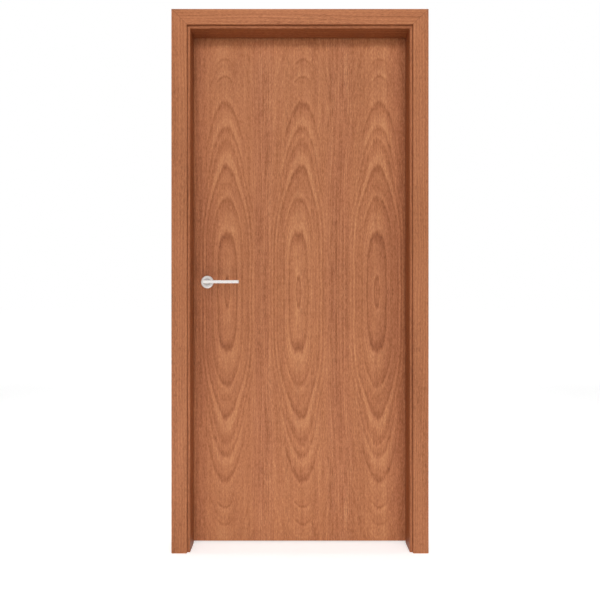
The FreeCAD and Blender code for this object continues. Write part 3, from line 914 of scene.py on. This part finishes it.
def build_brushed_lines():
    bench, given, gives = new_group(
        "brushed_lines", {"Place": "Vector"}, {"Tone": "Float", "Roughness": "Float", "Height": "Float"}
    )
    lines = bench.noise(given["Place"], BRUSH_WAVES, 2.0, 0.7)
    drift = bench.noise(given["Place"], DRIFT_WAVES, 1.0)
    line_part = bench.math("MULTIPLY", lines, LINE_SHARE)
    bench.feed(gives["Tone"], bench.math("MULTIPLY_ADD", drift, 1 - LINE_SHARE, line_part))
    bench.feed(gives["Roughness"], bench.step(drift, *GLOSS_SPAN, *STEEL_ROUGHNESS))
    bench.feed(gives["Height"], lines)


build_brushed_lines()
print("built group brushed_lines")

# %% [markdown]
# ## Satin steel
# The lines run along the bar on the levers, round the spindle on the roses, and up and down on the plates,
# so the place is turned to suit before it goes into the group. On a rose it becomes the distance from the
# spindle. A rose's middle is greyed round the neck as painted shade, and its rim is left bright.

# %% Materials: satin steel
# Painted shade: the grey that a rose takes round the lever's neck, and how far out it reaches.
NECK_SHADE_GREY = srgb(112, 108, 105)
NECK_SHADE_SPAN, LIT_STEEL_SHARES = (0.011, 0.022), (0.55, 1.0)
BRUSH_STRENGTH, BRUSH_HEIGHT = 0.08, 0.0001


def spindle_distance(bench, place):
    """How far a point lies from the spindle's line."""
    low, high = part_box("front_rose")
    middle = (low + high) / 2
    offset = bench.vector_math("SUBTRACT", place, (middle.x, 0, middle.z))
    return bench.vector_math("LENGTH", bench.vector_math("MULTIPLY", offset, (1, 0, 1)))


def satin_steel(name, lines, dark, light):
    """Brushed steel, with its lines along the bar, round the spindle or up the plate."""
    material, bench, shader, place = new_finish(name)
    if lines == "along":
        place = bench.turn(place)
    elif lines == "round":
        radius = spindle_distance(bench, place)
        place = bench.join(radius, bench.split(place)["Y"], 0.0)
    brushed = bench.group("brushed_lines", Place=place)
    steel = bench.mix(brushed["Tone"], dark, light)
    if lines == "round":
        # Painted shade of the neck on the rose's middle.
        steel = bench.mix(bench.step(radius, *NECK_SHADE_SPAN, *LIT_STEEL_SHARES), NECK_SHADE_GREY, steel)
    bench.feed(shader.inputs["Base Color"], steel)
    bench.feed(shader.inputs["Roughness"], brushed["Roughness"])
    shader.inputs["Metallic"].default_value = 1.0
    bench.feed(shader.inputs["Normal"], bench.bump(brushed["Height"], BRUSH_STRENGTH, BRUSH_HEIGHT))
    return material


bar_steel = satin_steel("handle_steel_bar", "along", srgb(226, 219, 215), srgb(255, 251, 248))
rose_steel = satin_steel("handle_steel_rose", "round", srgb(206, 199, 195), srgb(240, 234, 230))
plate_steel = satin_steel("hinge_steel", "up", srgb(184, 181, 177), srgb(212, 209, 205))
dress(bar_steel, "front_lever", "back_lever")
dress(rose_steel, "front_rose", "back_rose")
dress(plate_steel, "spindle", "latch_case", "latch_bolt", "strike_plate")
for hinge in ("top", "middle", "bottom"):
    dress(plate_steel, *(f"{hinge}_hinge_{piece}" for piece in ("frame_plate", "leaf_plate", "pin")))
print("brushed the steel")

# %% [markdown]
# ## Screws
# Each hinge plate is held by countersunk screws, the latch and strike by two each, and a small grub screw
# under each lever's neck holds it on the spindle. A head is a low dome with a driver's recess let into it,
# so it is built as rings of points: rim, dome and recess. A boolean cut would give the same recess, but
# with stray edges.

# %% Recess outlines
CROSS_ARM, CROSS_HALF_WIDTH, SOCKET_REACH = 0.62, 0.15, 0.6


def cross_outline(radius):
    """A cross recess, as twelve corners."""
    arm, half = radius * CROSS_ARM, radius * CROSS_HALF_WIDTH
    quarter = [(half, -half), (arm, -half), (arm, half)]
    corners = []
    for turn in range(4):
        cos, sin = math.cos(turn * math.pi / 2), math.sin(turn * math.pi / 2)
        corners += [(x * cos - y * sin, x * sin + y * cos) for x, y in quarter]
    return corners


def hexagon_outline(radius):
    """A six-sided socket."""
    reach = radius * SOCKET_REACH
    return [(reach * math.cos(i * math.pi / 3), reach * math.sin(i * math.pi / 3)) for i in range(6)]


print("a cross has", len(cross_outline(1.0)), "corners, and a socket has", len(hexagon_outline(1.0)))

# %% One screw head
RIM_POINTS = 32
HEAD_PROUD, HEAD_SKIRT = 0.0005, 0.0004
RIM_RISE, DOME_REACH = 0.35, 0.86
RECESS_TAPER, RECESS_RISE = 0.85, 0.25


def add_head(mesh, centre, axis, radius, recess, turn):
    """Adds one screw head at a centre on a face, looking along the face's normal."""
    stand = Vector(axis).to_track_quat("Z", "Y").to_matrix().to_4x4()
    place = Matrix.Translation(centre) @ stand @ Matrix.Rotation(turn, 4, "Z")

    def ring(outline, height):
        return [mesh.verts.new(place @ Vector((x, y, height))) for x, y in outline]

    def wall(lower, upper):
        for i in range(len(lower)):
            mesh.faces.new((lower[i - 1], lower[i], upper[i], upper[i - 1]))

    def circle(reach):
        angles = [2 * math.pi * i / RIM_POINTS for i in range(RIM_POINTS)]
        return [(reach * math.cos(a), reach * math.sin(a)) for a in angles]

    foot = ring(circle(radius), -HEAD_SKIRT)
    rim = ring(circle(radius), HEAD_PROUD * RIM_RISE)
    dome = ring(circle(radius * DOME_REACH), HEAD_PROUD)
    mouth = ring(recess(radius), HEAD_PROUD)
    floor = ring(recess(radius * RECESS_TAPER), HEAD_PROUD * RECESS_RISE)
    wall(foot, rim)
    wall(rim, dome)
    wall(floor, mouth)
    mesh.faces.new(floor)
    edges = []
    for loop in (dome, mouth):
        edges += [mesh.edges.get((loop[i - 1], loop[i])) for i in range(len(loop))]
    bmesh.ops.triangle_fill(mesh, edges=edges, use_beauty=True, normal=place.to_3x3() @ Vector((0, 0, 1)))


print("a head stands", HEAD_PROUD * 1000, "mm proud")

# %% [markdown]
# The screws' places are read from the pieces they hold. A hinge plate has three, staggered as a maker drills
# them so that they don't split one line of the grain. Each screw could be a piece of its own, but nobody
# moves one by itself, so all the screws of a kind on one body make one piece, which rides on that body.

# %% Hinge screws
HINGE_HEAD, HEAD_TURN = 0.0042, 0.7
HINGE_PATTERN = ((0.15, 0.007), (0.5, 0.016), (0.85, 0.007))


def screw_set(name, body, heads, radius, recess):
    """One piece that holds all the screws of a kind on a body. heads is a list of (centre, axis)."""
    mesh = bmesh.new()
    for i, (centre, axis) in enumerate(heads):
        add_head(mesh, centre, axis, radius, recess, turn=i * HEAD_TURN)
    bmesh.ops.recalc_face_normals(mesh, faces=mesh.faces)
    data = bpy.data.meshes.new(name)
    mesh.to_mesh(data)
    mesh.free()
    data.materials.append(plate_steel)
    piece = bpy.data.objects.new(name, data)
    bpy.context.scene.collection.objects.link(piece)
    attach(piece, body)
    print(name, len(heads), "heads")


def hinge_heads(piece, face_x, looks):
    """Three heads on each of the three hinges, on the face at face_x that looks along X."""
    heads = []
    for hinge in ("top", "middle", "bottom"):
        low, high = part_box(f"{hinge}_hinge_{piece}")
        for share, inset in HINGE_PATTERN:
            z = low.z + (high.z - low.z) * share
            heads.append((Vector((face_x, low.y + inset, z)), (looks, 0, 0)))
    return heads


jamb_heads = hinge_heads("frame_plate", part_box("hinge_jamb")[0].x, -1)
screw_set("frame_hinge_screws", "door_frame", jamb_heads, HINGE_HEAD, cross_outline)
leaf_heads = hinge_heads("leaf_plate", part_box("hinge_stile")[1].x, 1)
screw_set("leaf_hinge_screws", "door_leaf", leaf_heads, HINGE_HEAD, cross_outline)

# %% [markdown]
# The strike and the latch's forend take two screws each, on their centre line. The leaf's latch edge is
# planed to a slight bevel, so the forend's screws lean with it, by a slope that is read from how far the
# stile stands out past the skin.

# %% Strike and forend screws
PLATE_HEAD, PLATE_SCREW_SPREAD = 0.0032, 0.0195


def pair_of_heads(x, y, z, axis):
    return [(Vector((x, y, z + up)), axis) for up in (-PLATE_SCREW_SPREAD, PLATE_SCREW_SPREAD)]


strike_low, strike_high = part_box("strike_plate")
strike_middle = (strike_low + strike_high) / 2
strike_heads = pair_of_heads(strike_high.x, strike_middle.y, strike_middle.z, (1, 0, 0))
screw_set("strike_screws", "door_frame", strike_heads, PLATE_HEAD, cross_outline)

skin_low, skin_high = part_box("front_skin")
stile_low, stile_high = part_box("latch_stile")
bevel = (skin_low.x - stile_low.x) / (stile_high.y - skin_high.y)
case_low, case_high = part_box("latch_case")
forend_y, forend_z = (case_low.y + case_high.y) / 2, (case_low.z + case_high.z) / 2
forend_x = case_low.x + (case_high.y - forend_y) * bevel
forend_heads = pair_of_heads(forend_x, forend_y, forend_z, (-1, -bevel, 0))
screw_set("forend_screws", "door_leaf", forend_heads, PLATE_HEAD, cross_outline)

# %% [markdown]
# A lever is held on its spindle by a grub screw from below, turned with a six-sided key. It shows only to
# someone who looks up at the handle, and it rides with the lever.

# %% Grub screws
GRUB_HEAD, NECK_RADIUS, GRUB_STAND_OFF = 0.0021, 0.009, 0.0055

spindle_low, spindle_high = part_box("spindle")
spindle_middle = (spindle_low + spindle_high) / 2
grub_places = (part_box("front_rose")[0].y - GRUB_STAND_OFF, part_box("back_rose")[1].y + GRUB_STAND_OFF)
grub_z = spindle_middle.z - NECK_RADIUS
grub_heads = [(Vector((spindle_middle.x, grub_y, grub_z)), (0, 0, -1)) for grub_y in grub_places]
screw_set("grub_screws", "lever_handle", grub_heads, GRUB_HEAD, hexagon_outline)
